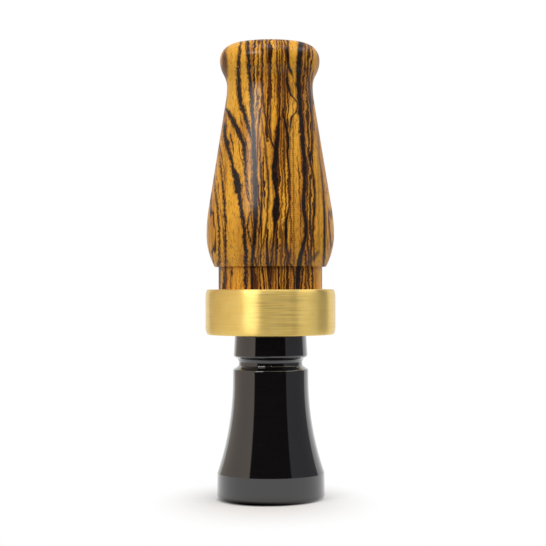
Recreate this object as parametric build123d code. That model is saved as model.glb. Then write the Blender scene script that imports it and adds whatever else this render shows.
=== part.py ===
from build123d import *
from math import acos, atan2, cos, degrees, radians, sin, sqrt
import os

# A double-reed duck call of the Arkansas type, standing on its bell: a turned wooden barrel with
# a brass band, and a one-piece acrylic insert that carries the reeds.
# Millimetres, +Z up, origin on the floor at the axis. The tone board faces -Y.

# ---- Driving dimensions ----

# Bores
BORE_DIA = 15.875           # 5/8 in, through most of the barrel
THROAT_DIA = 14.29          # 9/16 in, behind the lip
THROAT_LENGTH = 10.0
THROAT_CONE = 0.8           # height of the cone between bore and throat
EXHAUST_DIA = 9.525         # 3/8 in, in the insert below the step
TONE_BORE_DIA = 6.35        # 1/4 in, under the tone board

# Insert, outside, from the floor up
RIM_HEIGHT = 7.0
RIM_DRAFT = 0.17            # how far the rim's side widens from its top down, on the radius
RIM_FOOT_ROUND = 1.2
FLARE_LENGTH = 25.5
FLARE_SPREAD = 4.29         # how far the bell opens, on the radius
BELL_NECK_LENGTH = 2.35
BELL_NECK_LAP = 0.2         # bell neck over the collar's lower end, on the radius
GROOVE_WIDTH = 3.6
GROOVE_DEPTH = 1.6
GROOVE_LOWER_FLANK = 1.1    # heights of the flanks
GROOVE_UPPER_FLANK = 1.5
GROOVE_KNEE_OUT = 0.45      # where the upper flank steepens: out from the floor, and up
GROOVE_KNEE_UP = 0.9
GROOVE_KNEE_ROUND = 1.0
GROOVE_FLOOR_ROUND = 0.5
GROOVE_EDGE_ROUND = 0.55
COLLAR_LENGTH = 5.85
COLLAR_FLARE = 0.31         # how far the collar widens from the band down to the groove
SHOULDER_LAP = 1.75         # collar's shoulder over the edge of the barrel's bore

# Insert, inside the bell
BELL_MOUTH_SPREAD = 6.4     # how far the mouth opens past the exhaust bore, on the radius
BELL_MOUTH_DEPTH = 12.0
BELL_MOUTH_ROUND = 0.4
EXHAUST_LENGTH = 27.0
STEP_CONE = 2.0
DRILL_POINT = 1.9           # depth of the cone that ends the tone bore

# Insert, tenon and tone board, from the shoulder up
TENON_FIT = 0.14            # tenon inside the barrel's bore, on the radius
TENON_LENGTH = 16.0         # up to the notch's end wall
NOTCH_LENGTH = 10.0
NOTCH_HEIGHT = 4.0
BOARD_LENGTH = 38.0         # from the hook's end to the tip
BOARD_HEIGHT = 1.2          # the reeds' bed over the axis
BOARD_RELIEF = 0.8          # tone board's back inside the tenon, on the radius
BOARD_WIDTH = 12.0
BOARD_TIP_ROUND = 4.5
BOARD_FLAT = 5.2            # straight part of the bed past the hook
BOARD_DROP = 1.6            # how far the bed curves away from the reeds at the tip
TONE_END_WALL = 5.3         # from the tone bore's end to the tip

# O-rings
RING_CORD = 1.78            # relaxed section
RING_SQUEEZE = 0.33
RING_FIT = 0.03             # ring to groove floor, and ring to bore
RING_SIDE_ROOM = 0.12       # ring to each wall of its groove
REAR_RING_INSET = 4.0       # shoulder to the rear ring's middle
RING_SPACING = 7.2

# Reeds and wedge
REED_WIDTH = 9.8
REED_THICKNESS = 0.25
REED_TIP_ROUND = 3.4
REED_BUTT_GAP = 0.2         # reeds and wedge to the notch's end wall
UPPER_REED_INSET = 0.8      # reed's tip behind the tone board's tip
LOWER_REED_INSET = 1.8
FILM = 0.01                 # between layers that lie on each other
DIMPLE_HEIGHT = 0.3
DIMPLE_RADIUS = 1.1
DIMPLE_INSET = 12.0         # from the upper reed's tip
WEDGE_WIDTH = 9.8
WEDGE_LENGTH = 12.0
WEDGE_CHAMFER = 0.6

# Barrel, outside, from the shoulder up
SPIGOT_WALL = 5.36          # wood under the band
SPIGOT_STEP = 0.7           # shoulder that the band butts against
SHOULDER_HEIGHT = 6.05
BELLY_STEP = 1.0            # belly's lower edge over the shoulder
BELLY_BULGE = 2.22          # widest girth over the belly's lower edge
BELLY_RISE = 8.7
BELLY_ROUND = 42.3
BELLY_TO_NECK = 39.85
NECK_WALL = 3.63            # wood over the bore at the waist
NECK_ROUND = 20.7
NECK_TO_LIP = 7.15
LIP_FLARE = 1.89            # lip over the waist, on the radius
LIP_UNDER_ROUND = 7.8
LIP_TOP_ROUND = 4.35
MOUTH_ROUND = 1.2
WOOD_EDGE_ROUND = 0.3
BORE_CHAMFER = 0.3

# Brass band
BAND_HEIGHT = 12.15
BAND_WALL = 4.2
BAND_GLUE_GAP = 0.05
BAND_EASE_HEIGHT = 2.1      # the outer edges' elliptical easing: up the side
BAND_EASE_DEPTH = 0.7       # and in from it

# ---- Radii and heights that follow ----

bore_r = BORE_DIA / 2
throat_r = THROAT_DIA / 2
exhaust_r = EXHAUST_DIA / 2
tone_r = TONE_BORE_DIA / 2
tenon_r = bore_r - TENON_FIT
board_r = tenon_r - BOARD_RELIEF
collar_top_r = bore_r + SHOULDER_LAP
collar_foot_r = collar_top_r + COLLAR_FLARE
bell_neck_r = collar_foot_r + BELL_NECK_LAP
flare_r = bell_neck_r + FLARE_SPREAD
rim_r = flare_r + RIM_DRAFT
bell_mouth_r = exhaust_r + BELL_MOUTH_SPREAD

spigot_r = bore_r + SPIGOT_WALL
shoulder_r = spigot_r + SPIGOT_STEP
belly_edge_r = shoulder_r + BELLY_STEP
belly_r = belly_edge_r + BELLY_BULGE
waist_r = bore_r + NECK_WALL
lip_r = waist_r + LIP_FLARE
band_bore_r = spigot_r + BAND_GLUE_GAP
band_r = band_bore_r + BAND_WALL

flare_top = RIM_HEIGHT + FLARE_LENGTH
groove_foot = flare_top + BELL_NECK_LENGTH
groove_top = groove_foot + GROOVE_WIDTH
seat = groove_top + COLLAR_LENGTH

notch_wall = seat + TENON_LENGTH
hook_end = notch_wall + NOTCH_LENGTH
tip = hook_end + BOARD_LENGTH
tone_end = tip - TONE_END_WALL
notch_top = BOARD_HEIGHT + NOTCH_HEIGHT

band_top = seat + BAND_HEIGHT
belly_edge = band_top + SHOULDER_HEIGHT
belly = belly_edge + BELLY_RISE
waist = belly + BELLY_TO_NECK
lip = waist + NECK_TO_LIP
top = lip + LIP_TOP_ROUND
throat_foot = top - THROAT_LENGTH

ring_floor_r = bore_r - (RING_CORD - RING_SQUEEZE)
ring_half_height = (RING_CORD - RING_SQUEEZE) / 2 - RING_FIT
ring_half_width = (RING_CORD / 2) ** 2 / ring_half_height
rear_ring = seat + REAR_RING_INSET
front_ring = rear_ring + RING_SPACING

butt = notch_wall + REED_BUTT_GAP
wedge_front = butt + WEDGE_LENGTH
lower_reed_bed = BOARD_HEIGHT + FILM
upper_reed_bed = lower_reed_bed + REED_THICKNESS + FILM
wedge_bed = upper_reed_bed + REED_THICKNESS + FILM
upper_reed_tip = tip - UPPER_REED_INSET
lower_reed_tip = tip - LOWER_REED_INSET
dimple = upper_reed_tip - DIMPLE_INSET

# A view from the side: first coordinate out of the tone board's face, second up
SIDE = Plane((0, 0, 0), x_dir=(0, -1, 0), z_dir=(-1, 0, 0))
CLEAR = 50.0                # larger than any piece is wide


def turned(edges):
    """Turn a closed outline, drawn as radius and height, about the call's axis."""
    return revolve(Plane.XZ * make_face(edges), Axis.Z)


def ring_edge(solid, radius, height):
    """A turned solid's circular edge at this radius and height."""
    circles = solid.edges().filter_by(GeomType.CIRCLE)
    return [e for e in circles if abs(e.radius - radius) < 0.01 and abs(e.arc_center.Z - height) < 0.01]


def side_cut(edges, width):
    """A prism across the call from a closed outline drawn in the side view."""
    return extrude(SIDE * make_face(edges), amount=width / 2, both=True)


def rounded_strip(width, start, end, tip_round):
    """A strip along the axis with its far corners rounded, thick enough to cut any piece."""
    half = width / 2
    corner = min(tip_round, half - 0.1)
    corners = [(-half, start), (-half, end), (half, end), (half, start)]
    outline = FilletPolyline(*corners, radius=(0, corner, corner, 0), close=True)
    return extrude(Plane.XZ * make_face(outline), amount=CLEAR, both=True)


def bell_and_tenon():
    """The insert's turned outside, from the rim up to the end of the hook."""
    foot_r = rim_r - RIM_FOOT_ROUND
    groove_r = bell_neck_r - GROOVE_DEPTH
    floor_top = groove_top - GROOVE_UPPER_FLANK
    groove = FilletPolyline(
        (bell_neck_r, flare_top),
        (bell_neck_r, groove_foot),
        (groove_r, groove_foot + GROOVE_LOWER_FLANK),
        (groove_r, floor_top),
        (groove_r + GROOVE_KNEE_OUT, floor_top + GROOVE_KNEE_UP),
        (collar_foot_r, groove_top),
        (collar_top_r, seat),
        radius=(GROOVE_EDGE_ROUND, GROOVE_FLOOR_ROUND, GROOVE_FLOOR_ROUND, GROOVE_KNEE_ROUND,
                GROOVE_EDGE_ROUND),
    )
    return turned([
        Line((0, 0), (foot_r, 0)),
        CenterArc((foot_r, RIM_FOOT_ROUND), RIM_FOOT_ROUND, -90, 90),
        Line((rim_r, RIM_FOOT_ROUND), (flare_r, RIM_HEIGHT)),
        TangentArc((bell_neck_r, flare_top), (flare_r, RIM_HEIGHT), tangent=(0, -1)),
        groove,
        Polyline((collar_top_r, seat), (tenon_r, seat), (tenon_r, hook_end), (0, hook_end), (0, 0)),
    ])


def air_passage():
    """The void through the insert: bell mouth, exhaust bore, step and blind tone bore."""
    exhaust_top = BELL_MOUTH_DEPTH + EXHAUST_LENGTH
    return turned([
        Line((0, 0), (bell_mouth_r, 0)),
        TangentArc((exhaust_r, BELL_MOUTH_DEPTH), (bell_mouth_r, 0), tangent=(0, -1)),
        Polyline(
            (exhaust_r, BELL_MOUTH_DEPTH),
            (exhaust_r, exhaust_top),
            (tone_r, exhaust_top + STEP_CONE),
            (tone_r, tone_end - DRILL_POINT),
            (0, tone_end),
            (0, 0),
        ),
    ])


def notch_and_bed():
    """What is sawn away for the reeds: the wedge's notch, and all above the curved bed."""
    curve_start = hook_end + BOARD_FLAT
    tip_height = BOARD_HEIGHT - BOARD_DROP
    return side_cut([
        Line((BOARD_HEIGHT, notch_wall), (BOARD_HEIGHT, curve_start)),
        TangentArc((BOARD_HEIGHT, curve_start), (tip_height, tip), tangent=(0, 1)),
        Polyline(
            (tip_height, tip),
            (CLEAR, tip),
            (CLEAR, hook_end),
            (notch_top, hook_end),
            (notch_top, notch_wall),
            (BOARD_HEIGHT, notch_wall),
        ),
    ], CLEAR)


def ring_groove(height):
    """The void of one O-ring groove in the tenon."""
    half = ring_half_width + RING_SIDE_ROOM
    span = tenon_r - ring_floor_r + TENON_FIT
    section = Plane.XZ * Pos(ring_floor_r + span / 2, height) * Rectangle(span, 2 * half)
    return revolve(section, Axis.Z)


def insert():
    """Bell, lanyard groove, collar, tenon, hook and tone board, all of one rod."""
    board = Pos(0, 0, notch_wall) * extrude(Circle(board_r), amount=tip - notch_wall)
    board &= rounded_strip(BOARD_WIDTH, notch_wall, tip, BOARD_TIP_ROUND)
    solid = bell_and_tenon() + board - air_passage() - notch_and_bed()
    solid -= ring_groove(rear_ring)
    solid -= ring_groove(front_ring)
    return fillet(ring_edge(solid, bell_mouth_r, 0), BELL_MOUTH_ROUND)


def o_ring(height):
    """A seated O-ring, squeezed to an oval section of its own area."""
    middle_r = ring_floor_r + RING_FIT + ring_half_height
    section = Plane.XZ * Pos(middle_r, height) * Ellipse(ring_half_height, ring_half_width)
    return revolve(section, Axis.Z)


def lower_reed():
    """The flat reed on the bed."""
    strip = rounded_strip(REED_WIDTH, butt, lower_reed_tip, REED_TIP_ROUND)
    layer = Polyline(
        (lower_reed_bed, butt),
        (lower_reed_bed, lower_reed_tip),
        (lower_reed_bed + REED_THICKNESS, lower_reed_tip),
        (lower_reed_bed + REED_THICKNESS, butt),
        close=True,
    )
    return side_cut(layer, REED_WIDTH) & strip


def upper_reed():
    """The reed on top: flat under the wedge, then held off the lower one by its dimple."""
    strip = rounded_strip(REED_WIDTH, butt, upper_reed_tip, REED_TIP_ROUND)
    rise = DIMPLE_HEIGHT * (upper_reed_tip - wedge_front) / (dimple - wedge_front)
    layer = Polyline(
        (upper_reed_bed, butt),
        (upper_reed_bed, wedge_front),
        (upper_reed_bed + rise, upper_reed_tip),
        (upper_reed_bed + rise + REED_THICKNESS, upper_reed_tip),
        (upper_reed_bed + REED_THICKNESS, wedge_front),
        (upper_reed_bed + REED_THICKNESS, butt),
        close=True,
    )
    dimple_r = (DIMPLE_RADIUS ** 2 + DIMPLE_HEIGHT ** 2) / (2 * DIMPLE_HEIGHT)
    place = SIDE * Pos(upper_reed_bed + dimple_r, dimple)
    under = side_cut(Polyline(
        (upper_reed_bed, dimple - dimple_r),
        (upper_reed_bed, dimple + dimple_r),
        (upper_reed_bed + DIMPLE_HEIGHT, dimple + dimple_r),
        (upper_reed_bed + DIMPLE_HEIGHT, dimple - dimple_r),
        close=True,
    ), REED_WIDTH)
    bump = (place * Sphere(dimple_r)) & under
    hollow = place * Sphere(dimple_r - REED_THICKNESS)
    return (side_cut(layer, REED_WIDTH) & strip) + bump - hollow


def wedge_cork():
    """The cork block between the reeds and the hook, its nose bevelled."""
    outer = notch_top - FILM
    block = Polyline(
        (wedge_bed, butt),
        (wedge_bed, wedge_front),
        (outer - WEDGE_CHAMFER, wedge_front),
        (outer, wedge_front - WEDGE_CHAMFER),
        (outer, butt),
        close=True,
    )
    return side_cut(block, WEDGE_WIDTH)


def taper_angle():
    """Angle of the straight taper that runs tangent from the belly's arc to the waist's."""
    across = (waist_r + NECK_ROUND) - (belly_r - BELLY_ROUND)
    reach = sqrt(across ** 2 + BELLY_TO_NECK ** 2)
    return degrees(atan2(BELLY_TO_NECK, across) - acos((BELLY_ROUND + NECK_ROUND) / reach))


def on_circle(centre, radius, angle):
    """The point of a circle at an angle in degrees."""
    return centre[0] + radius * cos(radians(angle)), centre[1] + radius * sin(radians(angle))


def barrel_outside():
    """The barrel's outline from the belly's lower edge up to the lip's top."""
    taper = taper_angle()
    belly_centre = (belly_r - BELLY_ROUND, belly)
    waist_centre = (waist_r + NECK_ROUND, waist)
    # The hollow above the waist takes the radius that runs tangent into the lip's underside.
    reach = LIP_UNDER_ROUND - LIP_FLARE
    cove = (reach ** 2 + NECK_TO_LIP ** 2 - LIP_UNDER_ROUND ** 2) / (2 * LIP_FLARE)
    cove_centre = (waist_r + cove, waist)
    lip_centre = (lip_r - LIP_UNDER_ROUND, lip)
    turn = degrees(atan2(NECK_TO_LIP, lip_centre[0] - cove_centre[0]))
    return [
        TangentArc((belly_r, belly), (belly_edge_r, belly_edge), tangent=(0, -1)),
        CenterArc(belly_centre, BELLY_ROUND, 0, taper),
        Line(on_circle(belly_centre, BELLY_ROUND, taper), on_circle(waist_centre, NECK_ROUND, 180 + taper)),
        CenterArc(waist_centre, NECK_ROUND, 180, taper),
        CenterArc(cove_centre, cove, turn, 180 - turn),
        CenterArc(lip_centre, LIP_UNDER_ROUND, turn - 180, 180 - turn),
        CenterArc((lip_r - LIP_TOP_ROUND, lip), LIP_TOP_ROUND, 0, 90),
    ]


def barrel():
    """The wooden barrel: spigot for the band, shoulder, belly, waist and lip, bored through."""
    solid = turned([
        Polyline(
            (bore_r + BORE_CHAMFER, seat),
            (spigot_r, seat),
            (spigot_r, band_top),
            (shoulder_r, band_top),
            (shoulder_r, belly_edge),
            (belly_edge_r, belly_edge),
        ),
        *barrel_outside(),
        Polyline(
            (lip_r - LIP_TOP_ROUND, top),
            (throat_r, top),
            (throat_r, throat_foot),
            (bore_r, throat_foot - THROAT_CONE),
            (bore_r, seat + BORE_CHAMFER),
            (bore_r + BORE_CHAMFER, seat),
        ),
    ])
    solid = fillet(ring_edge(solid, throat_r, top), MOUTH_ROUND)
    return fillet(ring_edge(solid, belly_edge_r, belly_edge), WOOD_EDGE_ROUND)


def barrel_band():
    """The brass band round the spigot, its outer edges eased."""
    ease_r = band_r - BAND_EASE_DEPTH
    low, high = seat + BAND_EASE_HEIGHT, band_top - BAND_EASE_HEIGHT
    return turned([
        Polyline((ease_r, band_top), (band_bore_r, band_top), (band_bore_r, seat), (ease_r, seat)),
        EllipticalCenterArc((ease_r, low), BAND_EASE_DEPTH, BAND_EASE_HEIGHT, start_angle=-90, arc_size=90),
        Line((band_r, low), (band_r, high)),
        EllipticalCenterArc((ease_r, high), BAND_EASE_DEPTH, BAND_EASE_HEIGHT, start_angle=0, arc_size=90),
    ])


pieces = {
    "insert": insert(),
    "rear_o_ring": o_ring(rear_ring),
    "front_o_ring": o_ring(front_ring),
    "lower_reed": lower_reed(),
    "upper_reed": upper_reed(),
    "wedge_cork": wedge_cork(),
    "barrel": barrel(),
    "barrel_band": barrel_band(),
}

os.makedirs("parts", exist_ok=True)
for name, piece in pieces.items():
    export_step(piece, f"parts/{name}.step")
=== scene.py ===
# %% [markdown]
# # A bocote duck call, dressed in Blender
#
# The call comes in as a finished model: every solid at its real size, standing on its bell with
# +Z up, in metres. This lesson keeps those turned solids and gives each its real finish: lacquered
# bocote, brushed brass and buffed black acrylic. It models again the soft pieces inside, which a
# plain solid can't show: two reeds that bend, and the cork wedge that clamps them.

# %% Load the frame
from math import cos, pi, radians, sin

import bmesh
import bpy
from mathutils import Matrix, Vector, noise


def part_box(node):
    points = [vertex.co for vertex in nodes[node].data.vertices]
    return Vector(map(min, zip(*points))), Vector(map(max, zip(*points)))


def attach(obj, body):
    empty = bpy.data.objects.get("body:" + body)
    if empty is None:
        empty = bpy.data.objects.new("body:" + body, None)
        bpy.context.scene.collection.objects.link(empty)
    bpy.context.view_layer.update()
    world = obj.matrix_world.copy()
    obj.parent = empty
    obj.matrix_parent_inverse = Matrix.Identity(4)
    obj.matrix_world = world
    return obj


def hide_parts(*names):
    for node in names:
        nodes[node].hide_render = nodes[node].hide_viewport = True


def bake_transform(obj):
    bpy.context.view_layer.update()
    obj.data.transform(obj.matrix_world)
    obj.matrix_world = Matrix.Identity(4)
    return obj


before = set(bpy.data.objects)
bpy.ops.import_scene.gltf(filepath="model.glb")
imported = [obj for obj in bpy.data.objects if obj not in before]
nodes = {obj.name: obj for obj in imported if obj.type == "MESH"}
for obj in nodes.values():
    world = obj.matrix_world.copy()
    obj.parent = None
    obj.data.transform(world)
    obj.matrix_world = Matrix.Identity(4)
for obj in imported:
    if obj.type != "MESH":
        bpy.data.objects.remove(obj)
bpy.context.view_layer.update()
MM = 0.001
print("nodes:", sorted(nodes))

# %% [markdown]
# ## Small helpers
#
# Colours are written as screen colours, so they are sRGB; shaders want linear light, so one
# function turns a hex colour to linear. A material is a handful of nodes, so one function adds a
# node with its settings and links: a value goes to the socket, and a socket gets a wire.

# %% Colour and node helpers
def tone(hex_colour):
    """An sRGB hex colour as linear RGBA."""
    parts = [int(hex_colour[i:i + 2], 16) / 255 for i in (1, 3, 5)]
    linear = [p / 12.92 if p <= 0.04045 else ((p + 0.055) / 1.055) ** 2.4 for p in parts]
    return (*linear, 1.0)


def add(tree, kind, inputs=None, **settings):
    """A node of this kind, its settings made, its inputs set or wired."""
    new = tree.nodes.new("ShaderNode" + kind)
    for name, value in settings.items():
        setattr(new, name, value)
    for name, value in (inputs or {}).items():
        if isinstance(value, bpy.types.NodeSocket):
            tree.links.new(value, new.inputs[name])
        else:
            new.inputs[name].default_value = value
    return new


def new_material(name):
    """An empty material, and the Object coordinates in millimetres that its patterns read."""
    made = bpy.data.materials.new(name)
    made.use_nodes = True
    tree = made.node_tree
    tree.nodes.clear()
    place = add(tree, "TexCoord").outputs["Object"]
    mm = add(tree, "VectorMath", {0: place, 3: 1000.0}, operation="SCALE").outputs[0]
    return made, tree, mm


def finish_material(made, tree, shader):
    """Wire the shader to the surface and say what was made."""
    add(tree, "OutputMaterial", {"Surface": shader.outputs[0]})
    print("material:", made.name, "with", len(tree.nodes), "nodes")
    return made


# %% [markdown]
# ## The camera
#
# A product shot is taken from a few call-lengths away with a long lens, level with the band, so
# that upright edges stay upright. A small upward shift frames the call without tilting.

# %% Camera
CAMERA_DISTANCE = 0.410
CAMERA_HEIGHT = 0.0579
CAMERA_ASIDE = 0.0007
CAMERA_ROLL = 0.16          # degrees
LENS, SENSOR = 100, 36      # mm
SHIFT_UP = 0.020

camera_data = bpy.data.cameras.new("camera")
camera_data.lens = LENS
camera_data.sensor_width = SENSOR
camera_data.shift_y = SHIFT_UP
camera = bpy.data.objects.new("camera", camera_data)
camera.location = (CAMERA_ASIDE, -CAMERA_DISTANCE, CAMERA_HEIGHT)
camera.rotation_euler = (radians(90), radians(CAMERA_ROLL), 0)
bpy.context.scene.collection.objects.link(camera)
bpy.context.scene.camera = camera
bpy.context.scene.view_settings.view_transform = "Standard"
print("camera at", tuple(camera.location))

# %% [markdown]
# ## The studio
#
# The call stands in a white sweep. Polished black plastic shows nothing but its surroundings, so
# those matter: the side by the camera is kept dark, a bright warm panel stands on the left and a
# dimmer cool one on the right, and the plastic shows three upright bands. One colour ramp, read
# by heading round the call, draws those panels for the world and for the far floor.

# %% Panels round the call
PANELS = [  # degrees round from the camera, positive to its right, and the colour seen there
    (-180, (0.95, 0.95, 0.95)),
    (-141, (0.90, 0.89, 0.88)),
    (-137, (0.52, 0.46, 0.40)),
    (-50.5, (1.00, 0.87, 0.75)),
    (-48.5, (0.02, 0.017, 0.018)),
    (46.5, (0.02, 0.017, 0.018)),
    (48.5, (0.30, 0.30, 0.32)),
    (121, (0.20, 0.20, 0.22)),
    (124, (0.90, 0.90, 0.90)),
    (180, (0.95, 0.95, 0.95)),
]


def panels_seen(tree, direction):
    """The panels' colour at a direction's heading round the call."""
    part = add(tree, "SeparateXYZ", {0: direction})
    toward = add(tree, "Math", {0: part.outputs["Y"], 1: -1.0}, operation="MULTIPLY")
    heading = add(tree, "Math", {0: part.outputs["X"], 1: toward.outputs[0]}, operation="ARCTAN2")
    turn = add(tree, "MapRange", {0: heading.outputs[0], 1: -pi, 2: pi, 3: 0.0, 4: 1.0})
    ramp = add(tree, "ValToRGB", {0: turn.outputs[0]})
    stops = ramp.color_ramp.elements
    while len(stops) < len(PANELS):
        stops.new(0.5)
    for stop, (degrees_round, colour) in zip(stops, PANELS):
        stop.position = (degrees_round + 180) / 360
        stop.color = (*colour, 1)
    return ramp.outputs[0], part.outputs["Z"]


print("panels:", len(PANELS), "stops")

# %% [markdown]
# The world is plain white to the camera, an even dimmer white to diffuse rays, and the panels
# with a bright ceiling over them to glossy rays. The Light Path node tells these rays apart.

# %% World
CEILING = 0.95
CEILING_FOOT, CEILING_FULL = 0.56, 0.74     # ray's climb where the ceiling starts, and is whole
SKY_LIGHT = 0.50
WHITE = (1, 1, 1, 1)

world = bpy.data.worlds.new("studio")
bpy.context.scene.world = world
world.use_nodes = True
sky = world.node_tree
sky.nodes.clear()
seen, climb = panels_seen(sky, add(sky, "TexCoord").outputs["Generated"])
up = add(sky, "MapRange", {0: climb, 1: CEILING_FOOT, 2: CEILING_FULL},
         interpolation_type="SMOOTHSTEP")
gloss_view = add(sky, "Mix", {0: up.outputs[0], 6: seen, 7: (CEILING, CEILING, CEILING, 1)},
                 data_type="RGBA")
path = add(sky, "LightPath")
plain = add(sky, "Math", {0: path.outputs["Is Camera Ray"], 1: path.outputs["Is Transmission Ray"]},
            operation="MAXIMUM")
even = add(sky, "Mix", {0: plain.outputs[0], 6: (SKY_LIGHT, SKY_LIGHT, SKY_LIGHT, 1), 7: WHITE},
           data_type="RGBA")
view = add(sky, "Mix", {0: path.outputs["Is Glossy Ray"], 6: even.outputs[2],
                        7: gloss_view.outputs[2]}, data_type="RGBA")
back = add(sky, "Background", {"Color": view.outputs[2]})
add(sky, "OutputWorld", {"Surface": back.outputs[0]})
print("world:", len(sky.nodes), "nodes")

# %% [markdown]
# The floor is plain white board. Near the call it is a real diffuse surface that takes its
# shadow, and a near-black painted shadow is laid into its colour under the front of the rim.
# Farther out it turns into even white, as an overlit sweep does, so no horizon shows. Polished
# pieces see the near board white too, and beyond its edge the panels; soft light from the far
# floor is kept low, because in the studio it is a dark room.

# %% Floor
# Ovals on the floor: the middle, the width for a depth of 1, and the depths from the middle where
# the change starts and ends, in mm.
PAINTED_SHADOW_OVAL = ((-0.8, -2.3), 1.0, 11.6, 14.6)   # from shadow to board
BOARD = ((-1.5, -8.0), 0.67, 8.0, 48.0)     # from real board to even white
ROOM = ((0.0, 0.0), 1.0, 150.0, 260.0)      # from white to the panels, in polished pieces
FLOOR_LIGHT = 0.35
FLOOR_REACH = 3.0           # metres each way
FLOOR_DROP = 0.02 * MM      # keeps the floor from flickering through the foot of the rim


def white_board():
    """Painted shadow by the rim, diffuse board by the call, even white out, panels in far
    reflections.
    """
    made, tree, mm = new_material("white_sweep_board")
    ovals = []
    for middle, width, start, end in (PAINTED_SHADOW_OVAL, BOARD, ROOM):
        away = add(tree, "VectorMath", {0: mm, 1: (*middle, 0)}, operation="SUBTRACT")
        away = add(tree, "VectorMath", {0: away.outputs[0], 1: (1 / width, 1, 0)},
                   operation="MULTIPLY")
        away = add(tree, "VectorMath", {0: away.outputs[0]}, operation="LENGTH")
        ovals.append(add(tree, "MapRange", {0: away.outputs["Value"], 1: start, 2: end},
                         interpolation_type="SMOOTHSTEP"))
    painted_shadow, near, far = (oval.outputs[0] for oval in ovals)
    path = add(tree, "LightPath")
    round_about, _ = panels_seen(tree, mm)
    mirrored = add(tree, "Mix", {0: far, 6: WHITE, 7: round_about}, data_type="RGBA")
    soft = (FLOOR_LIGHT, FLOOR_LIGHT, FLOOR_LIGHT, 1)
    glow = add(tree, "Mix", {0: path.outputs["Is Diffuse Ray"], 6: WHITE, 7: soft},
               data_type="RGBA")
    glow = add(tree, "Mix", {0: path.outputs["Is Glossy Ray"], 6: glow.outputs[2],
                             7: mirrored.outputs[2]}, data_type="RGBA")
    # painted shadow: the board's colour goes near-black inside the first oval, under the rim's
    # front
    paper = add(tree, "Mix", {0: painted_shadow, 6: tone("#1C1713"), 7: tone("#E6E2DF")}, data_type="RGBA")
    board = add(tree, "BsdfDiffuse", {"Color": paper.outputs[2]})
    white = add(tree, "Emission", {"Color": glow.outputs[2], "Strength": 1.0})
    sweep = add(tree, "MixShader", {0: near, 1: board.outputs[0], 2: white.outputs[0]})
    return finish_material(made, tree, sweep)


shape = bmesh.new()
bmesh.ops.create_grid(shape, x_segments=1, y_segments=1, size=FLOOR_REACH)
floor_mesh = bpy.data.meshes.new("floor")
shape.to_mesh(floor_mesh)
shape.free()
floor = bpy.data.objects.new("floor", floor_mesh)
floor.location.z = -FLOOR_DROP
floor.data.materials.append(white_board())
bpy.context.scene.collection.objects.link(floor)

# %% [markdown]
# Three soft boxes add to the panels. The key is small, near and left of the camera: it lays a long
# soft light on the lacquer and a bright upright bar on the brass. The front one is wide and high
# and does most of the lighting. The right one gives the brass its second step. All of them stand
# above what the bell's flare can mirror, so they leave the black plastic clean.

# %% Soft boxes
AIMED_AT = Vector((0, 0, 0.06))     # the call's middle


def soft_box(name, degrees_round, elevation, distance, size, power):
    """A rectangular lamp aimed at the call's middle."""
    lamp = bpy.data.lights.new(name, "AREA")
    lamp.shape = "RECTANGLE"
    lamp.size, lamp.size_y = size
    lamp.energy = power
    made = bpy.data.objects.new(name, lamp)
    turn, rise = radians(degrees_round), radians(elevation)
    away = Vector((sin(turn) * cos(rise), -cos(turn) * cos(rise), sin(rise)))
    made.location = AIMED_AT + away * distance
    made.rotation_euler = away.to_track_quat("Z", "Y").to_euler()
    bpy.context.scene.collection.objects.link(made)
    print("lamp:", name, round(power, 2), "W")


soft_box("key", -36.5, 28, 0.36, (0.15, 0.05), 0.40)
soft_box("front", -8, 66, 0.80, (1.10, 0.40), 3.0)
soft_box("right", 84, 42, 0.80, (0.60, 0.22), 1.2)
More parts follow.
